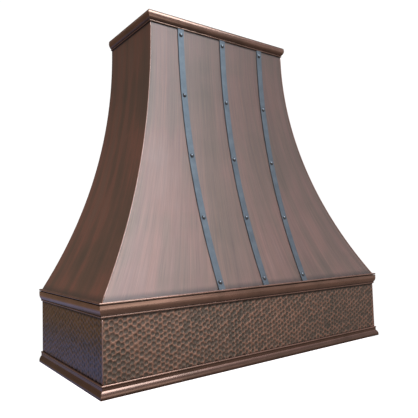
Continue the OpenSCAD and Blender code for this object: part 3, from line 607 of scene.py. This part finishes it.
def hammered_sheet(name, width, height, place, cells, pitch, depth, seed, thickness, mat):
    """A hammered sheet: place(u, v, out) turns width, height and outward rise into a point.

    Each mark is a shallow bowl below the sheet's outer face, so nothing stands proud of it."""
    nu, nv = cells
    us = np.linspace(0, width, nu + 1)
    vs = np.linspace(0, height, nv + 1)
    grid_u, grid_v = np.meshgrid(us, vs, indexing="ij")
    marks, radius, deep = hammer_marks(width, height, pitch, seed)
    sink = np.zeros_like(grid_u)
    for (mu, mv), r, d in zip(marks, radius, deep):
        iu0, iu1 = np.searchsorted(us, [mu - r, mu + r])
        iv0, iv1 = np.searchsorted(vs, [mv - r, mv + r])
        if iu0 >= iu1 or iv0 >= iv1:
            continue
        window = (slice(iu0, iu1), slice(iv0, iv1))
        far2 = (grid_u[window] - mu) ** 2 + (grid_v[window] - mv) ** 2
        bowl = np.clip(1 - far2 / r ** 2, 0, 1) * d
        sink[window] = np.maximum(sink[window], bowl)
    edge = np.minimum.reduce([grid_u, width - grid_u, grid_v, height - grid_v])
    calm = np.clip(edge / CALM_EDGE, 0, 1)
    sink *= calm
    struck = zip(grid_u.ravel(), grid_v.ravel(), sink.ravel())
    points = [place(u, v, -depth * s) for u, v, s in struck]
    count = (nu + 1) * (nv + 1)
    index = np.arange(count).reshape(nu + 1, nv + 1)
    quads = np.stack([index[:-1, :-1], index[1:, :-1], index[1:, 1:], index[:-1, 1:]], -1)
    back = [place(u, v, -thickness) for u in (0, width) for v in (0, height)]
    faces = quads.reshape(-1, 4).tolist()
    b00, b01, b10, b11 = (count + k for k in range(4))
    faces.append([b00, b01, b11, b10])
    faces.append([*index[::-1, 0].tolist(), b00, b10])
    faces.append([*index[:, -1].tolist(), b11, b01])
    faces.append([*index[0, :].tolist(), b01, b00])
    faces.append([*index[-1, ::-1].tolist(), b10, b11])
    obj = add_object(name, points + back, faces, mat)
    ridge = obj.data.attributes.new("ridge", "FLOAT", "POINT")
    values = np.concatenate([1 - np.clip(sink.ravel(), 0, 1), np.ones(4)])
    ridge.data.foreach_set("value", values.astype(np.float32))
    for polygon in list(obj.data.polygons)[-5:]:
        polygon.use_smooth = False
    return obj


def sweep_profile(name, centres, ups, outs, profile, mat):
    """A closed section carried along a path. ups and outs are the section's axes at each point."""
    verts = []
    for centre, up, out in zip(centres, ups, outs):
        for a, b in profile:
            verts.append(centre + out * a + up * b)
    n = len(profile)
    faces = []
    for i in range(len(centres) - 1):
        for j in range(n):
            k = (j + 1) % n
            faces.append((i * n + j, i * n + k, (i + 1) * n + k, (i + 1) * n + j))
    faces.append(tuple(range(n))[::-1])
    faces.append(tuple((len(centres) - 1) * n + j for j in range(n)))
    return add_object(name, verts, faces, mat)


# ---------------------------------------------------------------- pieces

def make_aprons(front_mat, side_mat):
    """The three hammered sheets, each tucked in behind the mouldings above and below it."""
    low = base_high.z - APRON_TUCK
    high = mid_low.z + APRON_TUCK
    tall = high - low
    rows = int(tall / CELL)
    depth = -APRON_FRONT - SHEET
    width = 2 * APRON_HALF

    def front(u, v, out):
        return (-APRON_HALF + u, APRON_FRONT - out, low + v)

    def side(sign):
        def place(u, v, out):
            return (sign * (APRON_HALF + out), -u if sign > 0 else u - depth, low + v)
        return place

    piece = hammered_sheet("hammered_front", width, tall, front, (int(width / CELL), rows),
                           HAMMER_PITCH, HAMMER_DEPTH, 11, SHEET, front_mat)
    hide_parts("apron_front")
    for sign, node in ((-1, "apron_left"), (1, "apron_right")):
        name = node.replace("apron", "hammered")
        piece = hammered_sheet(name, depth, tall, side(sign), (int(depth / CELL), rows),
                               HAMMER_PITCH, HAMMER_DEPTH, 23 + sign, SHEET, side_mat)
        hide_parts(node)


def sweep_out(z, head, foot):
    """How far out a swept face stands at height z, from its head and foot."""
    rise, spread = BODY_Z1 - BODY_Z0, foot - head
    radius = (rise * rise + spread * spread) / (2 * spread)
    down = BODY_Z1 - z
    return head + radius - math.sqrt(max(radius * radius - down * down, 0))


SEAM_SIDES = 10
BODY_SEAM_STEPS = 60
APRON_SEAM_STEPS = 8
BODY_SEAM_R = 1.7 * MM
APRON_SEAM_R = 1.5 * MM


def make_seam(name, centres, outwards, r, mat):
    """A round bead of radius r along a line of points; outwards is the direction it faces."""
    last = len(centres) - 1
    outs = []
    ups = []
    for i in range(last + 1):
        tangent = (centres[min(i + 1, last)] - centres[max(i - 1, 0)]).normalized()
        out = (outwards - tangent * outwards.dot(tangent)).normalized()
        outs.append(out)
        ups.append(tangent.cross(out).normalized())
    angles = [2 * math.pi * k / SEAM_SIDES for k in range(SEAM_SIDES)]
    circle = [(r * math.cos(a), r * math.sin(a)) for a in angles]
    piece = sweep_profile(name, centres, ups, outs, circle, mat)


def make_corner_seams(mat):
    """A soldered and filed copper bead down each front corner, of the body and of the apron."""
    for sign, side in ((-1, "left"), (1, "right")):
        outwards = Vector((sign, -1, 0))
        body = []
        for i in range(BODY_SEAM_STEPS + 1):
            z = BODY_Z0 + (BODY_Z1 - BODY_Z0) * i / BODY_SEAM_STEPS
            x = sweep_out(z, THROAT_HALF, APRON_HALF)
            y = sweep_out(z, -THROAT_FRONT, -APRON_FRONT)
            body.append(Vector((sign * x, -y, z)) + 0.2 * BODY_SEAM_R * outwards)
        make_seam("corner_seam_" + side, body, outwards, BODY_SEAM_R, mat)
        apron = []
        for i in range(APRON_SEAM_STEPS + 1):
            z = base_high.z + (mid_low.z - base_high.z) * i / APRON_SEAM_STEPS
            apron.append(Vector((sign * APRON_HALF, APRON_FRONT, z)))
        make_seam("apron_seam_" + side, apron, outwards, APRON_SEAM_R, mat)


def paint(names, mat):
    """Gives CAD nodes a material."""
    for name in names:
        slots = NODES[name].data.materials
        slots.clear()
        slots.append(mat)


# Per moulding, (height above its foot in mm, brightness): bright bands are painted highlights on beads and
# faces, partly rubbed wear, and dark bands are painted shade in grooves and under beads.
CROWN_LIGHT_AND_WEAR = [
    (0, 0.6), (2.6, 1.6), (5.4, 0.5), (9, 0.8), (20, 1.2), (30, 1.3), (34.5, 1.1), (35.6, 0.35), (37, 0.3)]
MID_LIGHT_AND_WEAR = [
    (0, 0.6), (2.6, 1.7), (5.6, 0.4), (9, 1.1), (16, 1.5), (24, 1.55), (33, 1.35), (34.6, 0.25), (36, 0.3),
    (37, 1.1), (39.5, 1.6), (42, 1.4)]
BASE_LIGHT_AND_WEAR = [
    (0, 0.6), (6, 0.7), (20, 0.9), (28, 0.9), (30.2, 0.3), (31.2, 0.9), (33.4, 1.6), (36, 1.2)]


def paint_copper():
    front = ("X", THROAT_HALF, APRON_HALF, FRONT_TONES_AND_SHEEN)
    side = ("Y", -THROAT_FRONT, -APRON_FRONT, SIDE_TONES_AND_SHADE)
    paint(["front_panel"], brushed_copper("panel_copper_x", *front))
    paint(["rear_panel"], brushed_copper("back_copper", *front, tucked=False))
    paint(["left_panel", "right_panel"], brushed_copper("panel_copper_y", *side))
    mouldings = {
        "crown": (crown_low.z, CROWN_LIGHT_AND_WEAR),
        "mid_moulding": (mid_low.z, MID_LIGHT_AND_WEAR),
        "base_moulding": (base_low.z, BASE_LIGHT_AND_WEAR),
    }
    for part, (foot, tones) in mouldings.items():
        paint([part + "_front"], moulding_copper(part + "_copper_x", foot, tones, "X"))
        paint([part + "_left", part + "_right"], moulding_copper(part + "_copper_y", foot, tones, "Y"))


def paint_ironwork():
    paint(["strap_left", "strap_centre", "strap_right"], forged_iron("strap_iron"))
    paint(["strap_rivets"], satin_metal("rivet_iron", 0.20, 0.20, 90, 0.9, (0.88, 1.0, 1.10)))
    primer = enamel("frame_primer", (0.05, 0.05, 0.052), 0.5)
    paint(["top_frame", "waist_frame", "base_frame", "rear_posts"], primer)


def paint_insides():
    steel_x = brushed_steel("stainless_x", "X")
    steel_y = brushed_steel("stainless_y", "Y")
    paint(["liner_front", "liner_rear", "control_plate", "grease_cup"], steel_x)
    paint(["liner_left", "liner_right"], steel_y)
    paint(["filter_left", "filter_centre", "filter_right"], steel_y)
    baffle_steel = brushed_steel("baffle_steel", "Y", 0.66, 0.24)
    paint(["baffles_left", "baffles_centre", "baffles_right"], baffle_steel)
    zinc = galvanised("galvanised_sheet")
    paint(["top_plate", "scroll_wrap", "scroll_cheek_left", "scroll_cheek_right", "outlet_transition",
           "duct_collar", "motor_bracket", "damper_flap_front", "damper_flap_rear"], zinc)
    paint(["impeller", "lamp_bodies"], satin_metal("cast_aluminium", 0.68, 0.40))
    plated = satin_metal("plated_steel", 0.70, 0.26, 400)
    paint(["filter_hinge_rod", "filter_catches", "motor_shaft", "damper_pin", "assembly_screws"], plated)
    paint(["lamp_rims"], satin_metal("chrome_rim", 0.80, 0.14, 300))
    paint(["lamp_lenses"], frosted_glass("lamp_glass"))
    paint(["fan_knob", "light_knob"], moulded_plastic("knob_plastic", (0.02, 0.02, 0.021), 0.34))
    paint(["control_box", "cable_gland"], moulded_plastic("black_plastic", (0.028, 0.028, 0.03), 0.55))
    paint(["motor"], enamel("motor_enamel", (0.055, 0.057, 0.062), 0.42))
    paint(["junction_box"], enamel("box_enamel", (0.30, 0.32, 0.33), 0.45))


make_camera()
make_world()
make_floor()
make_softbox("key", 19, 58, 3.2, (1.8, 2.3), 4.9, (0.85, 1.0, 1.10))
make_softbox("low", 17, -7, 3.4, (1.1, 1.2), 1.0, (1.04, 1.0, 0.97))
make_softbox("back", 140, 25, 3.2, (1.6, 2.2), 1.6)
make_softbox("under", 10, -84, 2.0, (1.5, 0.9), 0.6)
paint_copper()
paint_ironwork()
paint_insides()
make_aprons(hammered_copper("hammered_copper_front", 1.0, 0.0),
            hammered_copper("hammered_copper_side", 0.4, 1.0))
make_corner_seams(satin_metal("bare_copper", 0.72, 0.30, 120, 1.0, (1.0, 0.70, 0.60)))
